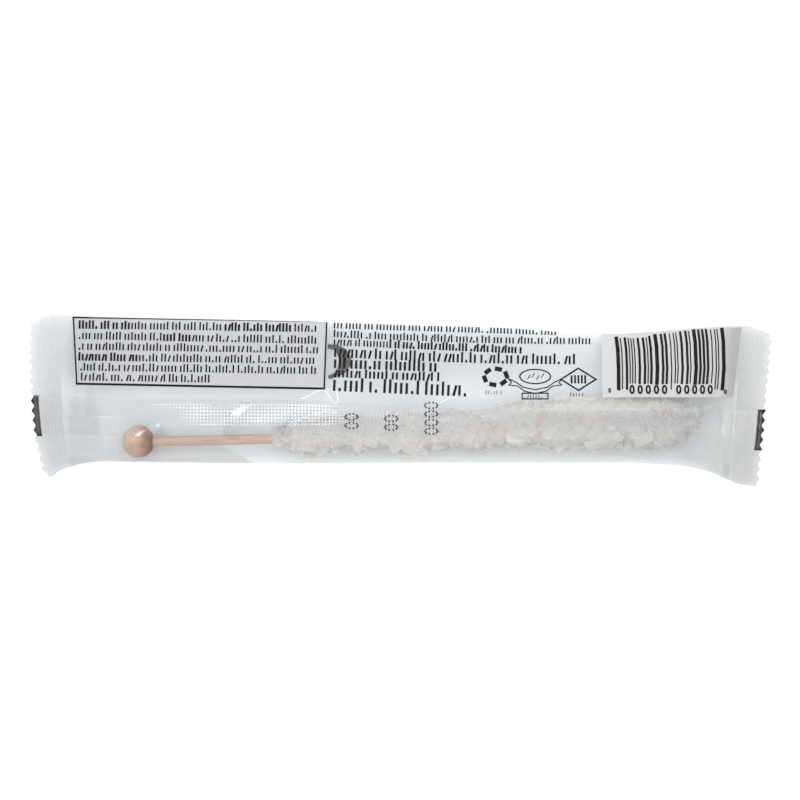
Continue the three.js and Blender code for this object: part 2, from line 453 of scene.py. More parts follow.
def film_material(name, tints, haze, cloud, roughness, ripple, ior=1.33, tint_by=None, share_by=None):
    """Thin clear film: it lets light through with a tint, scatters a little of it and mirrors some.

    The tints are those of its left end, its middle and its right end, and the film's darker ends are
    painted shade. tint_by and share_by say how the tint and the scattered share differ from place to place.
    """
    made, tree = material(name)
    normal = bump(tree, noise(tree, 3.2, 4), ripple, 0.1)
    left, middle, right = tints
    stops = ((0, left), (DULL_SHARE, middle), (1 - DULL_SHARE, middle), (1, right))
    tint = shade_along(tree, -SEAM, SEAM, *stops)
    if tint_by:
        tint = times(tree, tint, tint_by(tree))
    clear = node(tree, "BsdfTransparent", {"Color": tint})
    milk = node(tree, "BsdfDiffuse", {"Color": (*haze, 1), "Normal": normal})
    share = spread(tree, noise(tree, 9), *cloud)
    if share_by:
        share = product(tree, share, share_by(tree))
    body = mix(tree, share, clear, milk)
    shine = node(tree, "BsdfAnisotropic", {
        "Color": (1, 1, 1, 1), "Roughness": spread(tree, noise(tree, 2), *roughness), "Normal": normal,
    })
    mirror = maths(tree, "MINIMUM", node(tree, "Fresnel", {"IOR": ior, "Normal": normal}), MIRROR_LIMIT)
    return finished(made, mix(tree, mirror, body, shine))


def ink_material(name, dark, light, roughness, glow):
    """Printed ink, slightly uneven, that lets a share of the light soak through it, in painted shade near
    the right seal.
    """
    made, tree = material(name)
    tone = ramp(tree, noise(tree, 1.5), (0.3, dark), (0.7, light))
    # painted shade where the film slopes down to the right seal
    tone = times(tree, tone, shade_along(tree, *INK_SHADE_SPAN, (0, WHITE), (1, INK_PAINTED_SHADE)))
    normal = bump(tree, noise(tree, 0.6), 0.1, 0.02)
    shell = node(tree, "BsdfPrincipled", {
        "Base Color": tone, "Roughness": spread(tree, noise(tree, 4), *roughness), "Normal": normal,
        "Specular IOR Level": 0.1,
    })
    through = node(tree, "BsdfTranslucent", {"Color": tone, "Normal": normal})
    return finished(made, mix(tree, glow, shell, through))


def wood_material(name, dark, light, along, shades):
    """Bare turned birch: fine grain drawn out along the stick, faint bands, and a colour along X, painted
    shade on the ball.
    """
    made, tree = material(name)
    grain = noise(tree, 0.35, 6, stretch=along)
    bands = noise(tree, 1.6, 2, stretch=along)
    tone = maths(tree, "ADD", grain, bands)
    colour = ramp(tree, tone, (0.72, dark), (1.0, light), (1.25, tuple(min(1, c * 1.08) for c in light)))
    shader = node(tree, "BsdfPrincipled", {
        "Base Color": times(tree, colour, shade_along(tree, *shades)),
        "Roughness": spread(tree, grain, 0.5, 0.75),
        "Normal": bump(tree, grain, 0.35, 0.08),
    })
    return finished(made, shader)


def near_stick(tree):
    """How near a point is to the stick's line as seen from above, in patches, from 0 to 1."""
    line = maths(tree, "MULTIPLY_ADD", place_of(tree, "X"), WOOD_LINE[1], WOOD_LINE[0] * MM)
    far = maths(tree, "ABSOLUTE", maths(tree, "SUBTRACT", place_of(tree, "Y"), line))
    close = spread(tree, far, 1, 0, 0.8 * MM, 2.4 * MM)
    patch = spread(tree, noise(tree, 6, 2), 0, 1, 0.53, 0.64)
    return product(tree, close, patch, graded(tree, "X", 8, 30))


def painted_low_shade(tree):
    """Painted shade: a deeper tint low on the pack towards both ends, deepest at the low rim."""
    slant = maths(tree, "MULTIPLY_ADD", place_of(tree, "Y"), LOW_SHADE_SLANT, place_of(tree, "X"))
    left = spread(tree, slant, 1, 0, (LOW_SHADE_EDGE - 0.7) * MM, (LOW_SHADE_EDGE + 0.7) * MM)
    right = graded(tree, "X", 76, 84, 0, 0.85)
    deep = product(tree, maths(tree, "MAXIMUM", left, right), graded(tree, "Y", -17, -8, 1, 0))
    tint = times(tree, ramp(tree, deep, *LOW_SHADE_TINTS), painted_pleat_shadow(tree))
    return times(tree, tint, panel_light_and_high_shade(tree))


def panel_light_and_high_shade(tree):
    """Painted light just below the printed panels, lifting their shadow, and painted shade a little higher
    up.
    """
    off = maths(tree, "ABSOLUTE", maths(tree, "SUBTRACT", place_of(tree, "Y"), PANEL_FOOT * MM))
    band = spread(tree, off, 1, 0, 1.5 * MM, 6.5 * MM)
    sides = maths(tree, "MAXIMUM", graded(tree, "X", -22, -10, 1, 0), graded(tree, "X", 46, 54))
    near = ramp(tree, product(tree, band, sides), (0, WHITE), (1, PANEL_LIGHT_TINT))
    return times(tree, near, ramp(tree, graded(tree, "Y", 3, 8), (0, WHITE), (1, HIGH_SHADE_TINT)))


def painted_pleat_shadow(tree):
    """A small painted shadow of a pleat where the low fold meets the right seal."""
    squares = []
    for axis, middle, half in PLEAT_SHADOW:
        off = graded(tree, axis, middle - half, middle + half, -1, 1)
        squares.append(product(tree, off, off))
    return ramp(tree, maths(tree, "ADD", *squares), (0.2, PLEAT_SHADOW_TINT), (1, WHITE))


def hazy_ends(tree):
    """The film's haze grows towards the seals, where the heat has clouded it."""
    return spread(tree, maths(tree, "ABSOLUTE", place_of(tree, "X")), 0.2, 1, 80 * MM, SEAM * MM)


def seal_low_shade(tree):
    """Painted shade: the seals' tint is a little darker towards their lower corners."""
    return ramp(tree, graded(tree, "Y", -20, 12), *SEAL_SHADE_TINTS)


def pressed_lines(tree):
    """Faint hazier lines, parallel to each cut, where the ridges of the crimping jaws pressed."""
    out = maths(tree, "ABSOLUTE", place_of(tree, "X"))
    across = maths(tree, "MULTIPLY_ADD", place_of(tree, "Y"), -CUT_SLANT, out)
    wave = maths(tree, "SINE", product(tree, across, 2 * math.pi / (CRIMP_PITCH * MM)))
    return spread(tree, wave, 0.9, 1.1, -1, 1)


def fin_tint_and_painted_light(tree):
    """The back seam's tint is darkest over the bare handle; past the candy it rises above 1, painted light.
    """
    return shade_along(tree, *FIN_TINTS_AND_LIGHT)


def over_the_load(tree):
    """1 where the back seam lies over the handle, less over the candy, 0 over the seals."""
    rise = graded(tree, "X", -87, -79)
    fall = product(tree, graded(tree, "X", -24, -8, 1, 0.35), graded(tree, "X", 80, 90, 1, 0))
    return product(tree, rise, fall)


def sugar_material(name, clear, dark, light):
    """Sugar crystal, milky with a slight warm cast and pink where wood shows; painted shade greys it.

    clear is the share of light that passes straight through, in the body of the candy and at its tip.
    """
    made, tree = material(name)
    tone = ramp(tree, noise(tree, 2.6, 5), (0.3, dark), (0.7, light))
    # painted shade: greyer towards the tip and darker higher up
    tone = times(tree, tone, shade_along(tree, *CANDY_ALONG_SHADE))
    tone = times(tree, tone, ramp(tree, graded(tree, "Y", -12.5, 0), *CANDY_ACROSS_SHADE))
    tone = times(tree, tone, ramp(tree, near_stick(tree), (0, WHITE), (1, WOOD_GLIMPSE)))
    normal = bump(tree, noise(tree, 0.5, 4), 0.1, 0.05)
    shell = node(tree, "BsdfPrincipled", {
        "Base Color": tone, "Roughness": spread(tree, noise(tree, 0.9), 0.3, 0.5), "Normal": normal,
        "Specular IOR Level": 0.2,
    })
    glow = node(tree, "BsdfTranslucent", {"Color": tone, "Normal": normal})
    milky = mix(tree, SUGAR_GLOW, shell, glow)
    window = node(tree, "BsdfTransparent", {"Color": (0.99, 0.988, 0.986, 1)})
    return finished(made, mix(tree, graded(tree, "X", *GLASSY_TIP, *clear), milky, window))


DULL_SHARE = 0.14  # the tint runs to its end tint over this share of the length at each end, painted shade on the film
MIRROR_LIMIT = 0.1  # thin film seen edge on mirrors this share of the light at most
LOW_SHADE_SLANT, LOW_SHADE_EDGE = 1.87, -74.3  # the painted low shade ends on a slanted line: x plus this slant times y equals this edge
WHITE = grey(1)
# painted shade low on the pack, from none to its deepest at the rim
LOW_SHADE_TINTS = ((0, WHITE), (0.45, grey(0.96)), (0.85, grey(0.955)), (1, grey(0.865)))
PANEL_FOOT = 2.4  # y of the painted light below the printed panels
# painted light below the panels, and painted shade higher up
PANEL_LIGHT_TINT = grey(1.045)
HIGH_SHADE_TINT = grey(0.972)
PLEAT_SHADOW = (("X", 92.0, 1.4), ("Y", -20.0, 2.4))  # the painted shadow's middle, and how far its darkness reaches
PLEAT_SHADOW_TINT = (0.92, 0.925, 0.92)
# painted shade on the seals, from low to high
SEAL_SHADE_TINTS = ((0, grey(0.965)), (1, WHITE))
CUT_SLANT = 0.11  # how far the ends' cuts lean, as x over y
# the seam's tint along X; where it is above 1 it is painted light
FIN_TINTS_AND_LIGHT = (
    -40.0, 96.0,
    (0, grey(0.978)), (0.12, grey(1.01)), (0.88, grey(1.01)), (0.93, grey(1.03)), (1, WHITE),
)
INK_SHADE_SPAN = (90.0, 94.0)  # X over which print is in painted shade, where the film slopes down to the seal
INK_PAINTED_SHADE = (0.76, 0.76, 0.75)
STICK_SHADES = (60.0, 78.0, (0, WHITE), (1, (0.86, 0.95, 1.0)))  # less red where it ends
BALL_PAINTED_SHADE = (  # painted shade, darker towards the stick's socket
    BALL_X - BALL_RADIUS, BALL_X + BALL_RADIUS,
    (0.1, WHITE), (0.5, (0.88, 0.85, 0.83)), (0.7, (0.58, 0.52, 0.48)), (0.9, (0.32, 0.26, 0.22)),
)
# painted shade along the candy, greyest at its tip
CANDY_ALONG_SHADE = (
    CANDY_START, CANDY_END,
    (0, (1.0, 0.99, 0.985)), (0.75, (0.99, 0.982, 0.972)), (1, (0.94, 0.945, 0.945)),
)
# painted shade across the candy, darker above its low side
CANDY_ACROSS_SHADE = ((0, (0.965, 0.965, 0.96)), (0.6, (0.865, 0.865, 0.86)), (1, (0.935, 0.935, 0.925)))
WOOD_LINE = (-8.9, 0.06)  # the stick's line seen from above: y at x = 0, and its slope
WOOD_GLIMPSE = (1.0, 0.87, 0.84)
SUGAR_GLOW = 0.6  # share of the milky sugar's light that soaks through it
GLASSY_TIP = (72, 79)  # X over which the sugar grows as clear as it is at its tip

FILM = film_material("film", ((0.83, 0.839, 0.846), (0.904, 0.915, 0.922), (0.835, 0.841, 0.845)),
                     (0.65, 0.655, 0.66), (0.12, 0.2), (0.06, 0.12), 0.1, tint_by=painted_low_shade,
                     share_by=hazy_ends)
SEAL = film_material("seal", ((0.818, 0.827, 0.834), (0.818, 0.827, 0.834), (0.805, 0.811, 0.815)),
                     (0.6, 0.605, 0.61), (0.12, 0.2), (0.2, 0.3), 0.1, tint_by=seal_low_shade,
                     share_by=pressed_lines)
FIN = film_material("fin", (grey(0.995), (0.95, 0.953, 0.957), grey(0.995)),
                    (0.4, 0.405, 0.41), (0.03, 0.05), (0.08, 0.16), 0.05, tint_by=fin_tint_and_painted_light,
                    share_by=over_the_load)
PALE = (0.97, 0.975, 0.98)
# near-white haze on the knurl's dots: painted glints
KNURL_GLINT = film_material("knurl", (PALE,) * 3, (0.955, 0.96, 0.965), (0.8, 1.0),
                      (0.12, 0.2), 0.05)
# pale strokes along creases: painted highlights
CREASE_GLINT = film_material("crease", (WHITE,) * 3, PALE, (0.18, 0.28), (0.12, 0.2), 0.05)
CLEAR_SUGAR = film_material("clear_sugar", ((0.95, 0.95, 0.945),) * 3, grey(0.9), (0.05, 0.2),
                            (0.03, 0.08), 0.1, ior=1.55)
WHITE_INK = ink_material("white_ink", (0.535, 0.54, 0.55), (0.555, 0.56, 0.57), (0.35, 0.45), 0.4)
PALE_INK = ink_material("pale_ink", (0.565, 0.57, 0.585), (0.585, 0.59, 0.605), (0.35, 0.45), 0.55)
BLACK_INK = ink_material("black_ink", (0.003, 0.003, 0.0035), (0.008, 0.008, 0.009), (0.3, 0.5), 0.05)
FRONT_INK = ink_material("front_ink", (0.06, 0.06, 0.063), (0.09, 0.09, 0.093), (0.3, 0.5), 0.05)
STICK_WOOD = wood_material("stick_wood", (0.41, 0.28, 0.21), (0.485, 0.336, 0.256), (9, 1, 1), STICK_SHADES)
BALL_WOOD = wood_material("ball_wood", (0.465, 0.3, 0.213), (0.57, 0.378, 0.28), (4, 1, 1), BALL_PAINTED_SHADE)
SUGAR = sugar_material("sugar", (0.5, 0.65), (0.945, 0.935, 0.926), (0.97, 0.963, 0.957))
SUGAR_CORE = sugar_material("sugar_core", (0.1, 0.4), (0.925, 0.915, 0.904), (0.96, 0.952, 0.944))

# ---- Film ----

FILM_STEP = 0.6  # between the film's stations along X
FILM_COLUMNS = 96  # across the back, and again across the front
END_STEP = 0.2
END_COLUMNS = 190


def crowded(count):
    """Fractions from 0 to 1 that crowd towards both ends, where the film bends most."""
    return (1 - np.cos(np.pi * np.linspace(0, 1, count))) / 2


def film_rings(x, columns):
    """Rings of film round the pack, at stations x: the back from low fold to high, then the front."""
    share = crowded(columns)
    stations = x[:, None]
    y = low_fold(stations) + (high_fold(stations) - low_fold(stations)) * share[None]
    stations = np.broadcast_to(stations, y.shape)
    along = stations + drag(stations, y)
    upper = np.stack([along, y, back(stations, y)], axis=-1)
    lower = np.stack([along, y, front(stations, y)], axis=-1)
    return np.concatenate([upper, lower[:, -2:0:-1]], axis=1)


def make_film_body():
    """The tube of film between the two crimped ends."""
    count = int(2 * SEAM / FILM_STEP)
    rings = film_rings(np.linspace(-SEAM, SEAM, count), FILM_COLUMNS)
    piece("film_body", rings, tube_faces(*rings.shape[:2]), FILM)


def tooth(y):
    """How deep the zigzag bites at height y, from 0 at a tip to the full depth."""
    turn = (y + KNIFE_REACH) / TOOTH_PITCH
    return TOOTH_DEPTH * (1 - np.abs(1 - 2 * (turn - np.floor(turn))))


def make_film_end(name, side):
    """A crimped end: both layers of film welded flat, cut to a zigzag along its outer edge."""
    steps = int((SEAL_WIDTH + 1) / END_STEP)
    rings = film_rings(side * np.linspace(SEAM, HALF, steps), END_COLUMNS)
    cut = left_cut if side < 0 else right_cut
    knife = cut(rings[..., 1]) - side * tooth(rings[..., 1])
    reach = np.linspace(0, 1, steps)[:, None]
    start = rings[:1, :, 0]
    rings[..., 0] = start + (knife - start) * reach
    faces = tube_faces(*rings.shape[:2])
    last = (steps - 1) * rings.shape[1]
    upper = last + np.arange(END_COLUMNS)
    lower = last + np.concatenate([[0], np.arange(rings.shape[1] - 1, END_COLUMNS - 2, -1)])
    rim = np.stack([upper[:-1], upper[1:], lower[1:], lower[:-1]], axis=-1)[1:-1]
    piece(name, rings, faces + rim.tolist(), SEAL)


def fin_rise(x, share):
    """How far the fin's lower side is above the back, from its root at 0 to its free edge at 1."""
    wave = 0.5 + 0.5 * np.sin(x / 9.0)
    flap = FIN_FLAP * share**2 * wave * smooth(HALF - 14 - np.abs(x), 0, 10)
    return FIN_GAP * smooth(share, 0, 0.04) + flap


def make_fin():
    """The back seam: two layers welded by a knurled roller, folded down flat on the back."""
    step = KNURL_PITCH / KNURL_STEPS
    rows = int((FIN_TO - FIN_FROM) / step)
    columns = 1 + KNURL_STEPS * KNURL_ROWS
    x = np.linspace(FIN_FROM, FIN_TO, rows)[:, None]
    share = np.linspace(0, 1, columns)[None]
    x, share = np.broadcast_arrays(x, share)
    y = fin_high(x) + (fin_low(x) - fin_high(x)) * share
    knurl_x = np.abs((x / KNURL_PITCH) % 1 * 2 - 1)
    knurl_y = np.abs((share * KNURL_ROWS) % 1 * 2 - 1)
    band = smooth(share, 0.03, 0.1) * smooth(KNURL_SHARE - share, 0, 0.06)
    rise = fin_rise(x, share) + KNURL_DEPTH * np.minimum(knurl_x, knurl_y) * band
    upper = on_back(x, y, rise + FIN_THICKNESS)
    lower = on_back(x, y, rise)
    verts = np.concatenate([upper.reshape(-1, 3), lower.reshape(-1, 3)])
    half = rows * columns
    faces = grid_faces(rows, columns) + grid_faces(rows, columns, half, flip=True)
    index = np.arange(half).reshape(rows, columns)
    loop = np.concatenate([index[0], index[1:, -1], index[-1, -2::-1], index[-2:0:-1, 0]])
    after = np.roll(loop, -1)
    faces += np.stack([loop, after, after + half, loop + half], axis=-1).tolist()
    piece("back_seam_fin", verts, faces, FIN, flat=True)


# Spots where the knurl's dots carry painted glints, as (middle x and y, half length and height, strength).
KNURL_GLINT_SPOTS = (
    (-81.5, -4.6, 5.5, 0.7, 0.7), (-62.0, -1.4, 7.5, 1.6, 1.1), (-54.0, -5.2, 8.0, 3.2, 1.0),
    (-39.0, -3.4, 9.5, 4.2, 1.0), (-25.0, -4.0, 10.5, 3.8, 1.0), (2.0, -4.5, 14.0, 3.0, 0.4),
)
KNURL_GLINT_ELSEWHERE = 0.12
DOT_RADII = (0.24, 0.28)
DOT_SIDES = 6
DOT_HEIGHT = 0.12
LEAST_DOT = 0.3


def make_knurl():
    """The pressed dots of the knurled roller, each a low dome, kept in the spots of painted glints."""
    along = np.arange(FIN_FROM + 1, FIN_TO - 1, KNURL_PITCH)
    x, row = np.meshgrid(along, np.arange(1, int(KNURL_ROWS * KNURL_SHARE)), indexing="ij")
    share = (row + 0.5) / KNURL_ROWS
    y = fin_high(x) + (fin_low(x) - fin_high(x)) * share
    size = np.full(x.shape, KNURL_GLINT_ELSEWHERE)
    for at_x, at_y, half_x, half_y, strength in KNURL_GLINT_SPOTS:
        size += strength * np.exp(-(((x - at_x) / half_x) ** 2 + ((y - at_y) / half_y) ** 2) ** 2)
    size = np.minimum(size, 1.1) * (0.8 + 0.2 * np.sin(x / 4.1 + row * 0.9))
    keep = size > LEAST_DOT
    x, y, size, share = (values[keep][:, None] for values in (x, y, size, share))
    angle = np.append(circle(DOT_SIDES), 0)
    out = np.append(np.ones(DOT_SIDES), 0)
    rise = fin_rise(x, share) + FIN_THICKNESS + KNURL_DEPTH + DOT_HEIGHT * size * (1 - out)
    verts = on_back(
        x + DOT_RADII[0] * size * out * np.cos(angle), y + DOT_RADII[1] * size * out * np.sin(angle), rise,
    )
    first = np.arange(len(x))[:, None] * (DOT_SIDES + 1)
    side = np.arange(DOT_SIDES)[None]
    faces = np.stack([first + side, first + (side + 1) % DOT_SIDES, first + DOT_SIDES + 0 * side], axis=-1)
    piece("seam_knurl", verts, faces.reshape(-1, 3).tolist(), KNURL_GLINT, flat=True)


# ---- Stick and candy ----

stick_y = profile([(BALL_X, -11.7), (-36, -10.9), (20, -9.0), (STICK_END, -5.6)])
stick_z = profile([(BALL_X, 4.65), (-36, 5.6), (20, 7.0), (STICK_END, 8.0)])


def round_stick(x, radius, angle):
    """Points that far from the stick's line at x, in each direction round it."""
    y, z = stick_y(x) + radius * np.cos(angle), stick_z(x) + radius * np.sin(angle)
    return np.stack([x + 0 * radius, y, z], axis=-1)


def lathe(name, x, radius, sides, wood, wobble, draw):
    """A round piece along the stick's line, whose turned surface is slightly uneven."""
    angle = circle(sides)
    x = x[:, None]
    uneven = 1 + wobble * sum(
        np.sin(k * angle + draw.uniform(0, 6) + x * draw.uniform(0.1, 0.5)) / k for k in (2, 3, 5)
    )
    verts = round_stick(x, radius[:, None] * uneven, angle)
    piece(name, verts, tube_faces(len(x), sides, capped=True), wood)


def make_handle(draw):
    """The stick, and the turned ball on its end with a small flat where it was parted off."""
    shaft = np.linspace(BALL_X + 2, STICK_END, 240)
    worn = np.minimum(1, 0.55 + 0.45 * np.sqrt(np.clip((STICK_END - shaft) / 0.6, 0, 1)))
    lathe("stick", shaft, STICK_RADIUS * worn, 40, STICK_WOOD, 0.012, draw)
    turn = np.linspace(0.05 * np.pi, math.pi - math.asin(SOCKET_RADIUS / BALL_RADIUS), 60)
    ball_x = BALL_X - BALL_RADIUS * np.cos(turn)
    ball_r = BALL_RADIUS * np.sin(turn)
    mouth_x, mouth_r = ball_x[-1], ball_r[-1]
    ball_x = np.append(ball_x, [mouth_x - 0.2, mouth_x - SOCKET_DEPTH, mouth_x - SOCKET_DEPTH])
    ball_r = np.append(ball_r, [mouth_r - 0.2, mouth_r - 0.35, STICK_RADIUS * 0.8])
    lathe("ball", ball_x, ball_r, 72, BALL_WOOD, 0.006, draw)


# How far the crystals reach from the stick's line across the pack, on its two sides.
candy_high = profile([
    (-36.3, -9.3), (-34.8, -7.6), (-33, -6.6), (-25, -5.0), (-19, -3.9), (-6, -3.9), (-2, -2.5),
    (3, -2.3), (7, -3.9), (12, -2.2), (20, -2.6), (22, -4.1), (26, -2.3), (28.6, -0.5), (35, 0.9),
    (39, -0.4), (43, 1.4), (48, 1.9), (54, 1.2), (60, 2.4), (68, 2.2), (76, 2.3), (80, 0.8),
    (82, -2.6), (84.5, -4.4),
])
candy_low = profile([
    (-36.3, -12.7), (-32, -13.4), (-29.5, -15.7), (-26, -16.6), (-23.4, -14.6), (-19, -14.7), (-14.8, -13.7),
    (-12, -16.6), (-9.6, -14.4), (-7.2, -14.2), (-2.5, -14.0), (0, -16.2), (4, -16.8), (8.6, -14.6),
    (11, -13.9), (17, -14.6), (21.5, -15.5), (25.6, -13.6), (29.3, -13.1), (32, -14.8), (34.6, -13.4),
    (37.5, -13.2), (44.4, -15.3), (51.8, -13.7), (56, -15.6), (60, -15.0), (61.8, -13.1), (65, -14.4),
    (68.6, -15.6), (73, -15.4), (78, -13.6), (82, -9.6), (84.5, -7.6),
])
GOLDEN_ANGLE = math.pi * (3 - math.sqrt(5))
FILM_ROOM = 0.3  # the crystals stay this far inside the film
CANDY_SQUARENESS = 2.7  # 2 would make its cross-section an ellipse
CRYSTAL_LEAN = 0.23
PULLS, PULL = 24, 0.25  # how often, and how far each time, a crystal is pulled in from the film
CRYSTAL_SETS = (  # how many crystals, their least and greatest size, how far out they reach
    (300, (3.4, 5.6), 1.0),
    (260, (1.8, 3.0), 0.98),
)


def turned(draw, points):
    """Each set of points turned a random way about the origin, by a quaternion."""
    w, x, y, z = draw.normal(size=(4, len(points), 1, 1)) + 1e-9
    axis = np.concatenate([x, y, z], axis=-1)
    scale = 2 / (w * w + x * x + y * y + z * z)
    return points + scale * np.cross(axis, np.cross(axis, points) + w * points)


BLOCK_CORNERS = [(i, j, k) for i in (-1, 1) for j in (-1, 1) for k in (-1, 1)]
BLOCK_POINTS = 3 * len(BLOCK_CORNERS)


def block_faces():
    """Faces of a block with its corners cut off, whose point 3 * corner + axis is cut along that axis."""
    faces = []
    for c, corner in enumerate(BLOCK_CORNERS):
        triangle = [3 * c, 3 * c + 1, 3 * c + 2]
        faces.append(triangle if math.prod(corner) > 0 else triangle[::-1])
    for axis in range(3):
        a, b = (axis + 1) % 3, (axis + 2) % 3
        for sign in (-1, 1):
            rim = []
            for c, corner in enumerate(BLOCK_CORNERS):
                if corner[axis] == sign:
                    rim.append((math.atan2(corner[b], corner[a] / 2), 3 * c + a))
                    rim.append((math.atan2(corner[b] / 2, corner[a]), 3 * c + b))
            octagon = [index for _, index in sorted(rim)]
            faces.append(octagon if sign > 0 else octagon[::-1])
    return faces


def crystal_points(draw, size):
    """Corners of sugar crystals about the origin: leaning blocks with their corners cut off."""
    count = len(size)
    axes = size[:, None] * draw.uniform((0.85, 0.6, 0.5), (1.25, 0.95, 0.8), (count, 3)) / 2
    corners = np.array(BLOCK_CORNERS, dtype=float)
    cut = 1 - draw.uniform(0.12, 0.6, (count, 8, 3))
    points = np.repeat(np.broadcast_to(corners, (count, 8, 3))[:, :, None], 3, axis=2).copy()
    for axis in range(3):
        points[:, :, axis, axis] *= cut[:, :, axis]
    points = points.reshape(count, BLOCK_POINTS, 3) * axes[:, None]
    points[..., 0] += CRYSTAL_LEAN * points[..., 2]
    return turned(draw, points)


def outside_film(points):
    """Which points are out of the film, or too near it."""
    along, y, z = points[..., 0], points[..., 1], points[..., 2]
    x = station(along, y)
    far = (y < low_fold(x) + FILM_ROOM) | (y > high_fold(x) - FILM_ROOM)
    return far | (z > back(x, y) - FILM_ROOM) | (z < front(x, y) + FILM_ROOM)


def candy_reach(x, angle):
    """How far the candy reaches from the stick's line at x, in each direction round it."""
    y, z = stick_y(x), stick_z(x)
    across, up = np.cos(angle), np.sin(angle)
    wide = np.where(across > 0, candy_high(x) - y, y - candy_low(x))
    top = back(x, y + 0.3 * wide * across) - FILM_ROOM - z
    tall = np.where(up > 0, top, z - FILM_ROOM - lift(x))
    tall = np.minimum(tall, (candy_high(x) - candy_low(x)) / 2 * 1.15)
    sides = np.abs(across / wide) ** CANDY_SQUARENESS + np.abs(up / tall) ** CANDY_SQUARENESS
    return sides ** (-1 / CANDY_SQUARENESS)


def grown_crystals(draw, count, sizes, reach):
    """Crystals set out round the stick, each pulled in until it is clear of the film."""
    x = CANDY_START + (CANDY_END - CANDY_START) * (np.arange(count) + draw.random(count)) / count
    angle = np.arange(count) * GOLDEN_ANGLE + draw.uniform(-0.5, 0.5, count)
    outer = candy_reach(x, angle) * reach
    points = crystal_points(draw, np.minimum(draw.uniform(*sizes, count), outer * 0.95))
    out = np.stack([0 * x, np.cos(angle), np.sin(angle)], axis=-1)
    tip = (points @ out[..., None])[..., 0].max(axis=1)
    far = np.maximum(outer * draw.uniform(0.86, 1.0, count) - tip, 0)
    points += round_stick(x, far, angle)[:, None]
    for _ in range(PULLS):
        stray = outside_film(points).any(axis=1)
        points[stray] -= PULL * out[stray][:, None]
    return points[~outside_film(points).any(axis=1)]


def crystal_piece(name, points, sugar):
    """A piece of many crystals from the corners of each."""
    block = block_faces()
    faces = [[BLOCK_POINTS * k + index for index in face] for k in range(len(points)) for face in block]
    piece(name, points, faces, sugar, flat=True)


def make_candy(draw):
    """Crystals grown all round the stick, out to the candy's uneven outline."""
    points = np.concatenate([grown_crystals(draw, *setting) for setting in CRYSTAL_SETS])
    crystal_piece("candy", points, SUGAR)


CLEAR_CRYSTALS = (  # middle in x and y, height over the stick's line, size
    (-26.0, -14.4, 1.5, 4.0), (-32.6, -9.3, 3.4, 2.4), (4.0, -12.6, 3.0, 2.4), (24.0, -5.0, 4.4, 2.6),
    (47.0, -12.0, 4.0, 2.6), (59.2, -12.0, 4.0, 2.8), (75.6, -6.2, 4.6, 2.6), (79.5, -4.0, 2.6, 3.0),
)


def make_clear_crystals(draw):
    """The few crystals that grew clear as glass."""
    places = np.array(CLEAR_CRYSTALS)
    points = crystal_points(draw, places[:, 3])
    x, y = places[:, 0], places[:, 1]
    points += np.stack([x, y, stick_z(x) + places[:, 2]], axis=-1)[:, None]
    crystal_piece("candy_clear", points, CLEAR_SUGAR)


CORE_STATIONS, CORE_SIDES = 150, 48
CORE_SHARE = 0.83  # of the way out to the candy's outline
CORE_LUMPS = 0.05


def make_candy_core():
    """The grown-together sugar under the crystals, lumpy and rough."""
    x = np.linspace(CANDY_START + 0.6, CORE_END, CORE_STATIONS)[:, None]
    angle = circle(CORE_SIDES)
    lumps = CORE_SHARE + CORE_LUMPS * np.sin(3 * angle + x * 0.9) * np.sin(x * 0.7 + 2 * angle)
    rounded = smooth(np.minimum(x - x[0], x[-1] - x), -1, 3)
    radius = np.maximum(candy_reach(x, angle) * lumps * rounded, STICK_RADIUS * 1.05)
    faces = tube_faces(CORE_STATIONS, CORE_SIDES, capped=True)
    piece("candy_core", round_stick(x, radius, angle), faces, SUGAR_CORE)


# ---- Print ----

INK_ABOVE = 0.095  # high enough that flat strokes don't dip under the curved film
PANEL_ABOVE = 0.04
BOLD = 1.3  # how much heavier the bold words are
PRINT_STEP = 0.4  # long strokes bend with the film at this spacing


def oval(middle, radii, sides):
    """Points round an oval."""
    x, y = middle
    return [(x + radii[0] * math.cos(a), y + radii[1] * math.sin(a)) for a in circle(sides)]


class Sheet:
    """Flat shapes in one ink, gathered in the plane and then laid on the back of the film."""

    def __init__(self, above):
        self.above = above
        self.points = []
        self.faces = []

    def patch(self, corners, across=1, along=1):
        """A four-sided patch, split so that it bends with the film."""
        a, b, c, d = (np.asarray(p, dtype=float) for p in corners)
        u = np.linspace(0, 1, along + 1)[:, None, None]
        v = np.linspace(0, 1, across + 1)[None, :, None]
        grid = (a * (1 - u) + b * u) * (1 - v) + (d * (1 - u) + c * u) * v
        self.faces += grid_faces(along + 1, across + 1, first=len(self.points))
        self.points += grid.reshape(-1, 2).tolist()

    def stroke(self, path, width, closed=False):
        """A line of even width through these points."""
        path = [np.asarray(p, dtype=float) for p in path]
        if closed:
            path.append(path[0])
        for a, b in zip(path, path[1:]):
            run = b - a
            length = float(np.hypot(*run))
            if length < 1e-6:
                continue
            side = np.array([-run[1], run[0]]) / length * width / 2
            tip = run / length * width / 2
            count = max(1, round(length / PRINT_STEP))
            self.patch((a - side - tip, b - side + tip, b + side + tip, a + side - tip), along=count)

    def blob(self, middle, radii, sides):
        """A filled oval."""
        first = len(self.points)
        self.points += oval(middle, radii, sides)
        self.faces.append(list(range(first, first + sides)))

    def lay(self, name, ink, slot):
        """The piece that the shapes make on the back, kept just inside its long folds."""
        points = np.array(self.points)
        x = station(points[:, 0], points[:, 1])
        y = np.clip(points[:, 1], low_fold(x) + 0.1, high_fold(x) - 0.1)
        piece(name, on_back(points[:, 0], y, self.above), self.faces, ink)


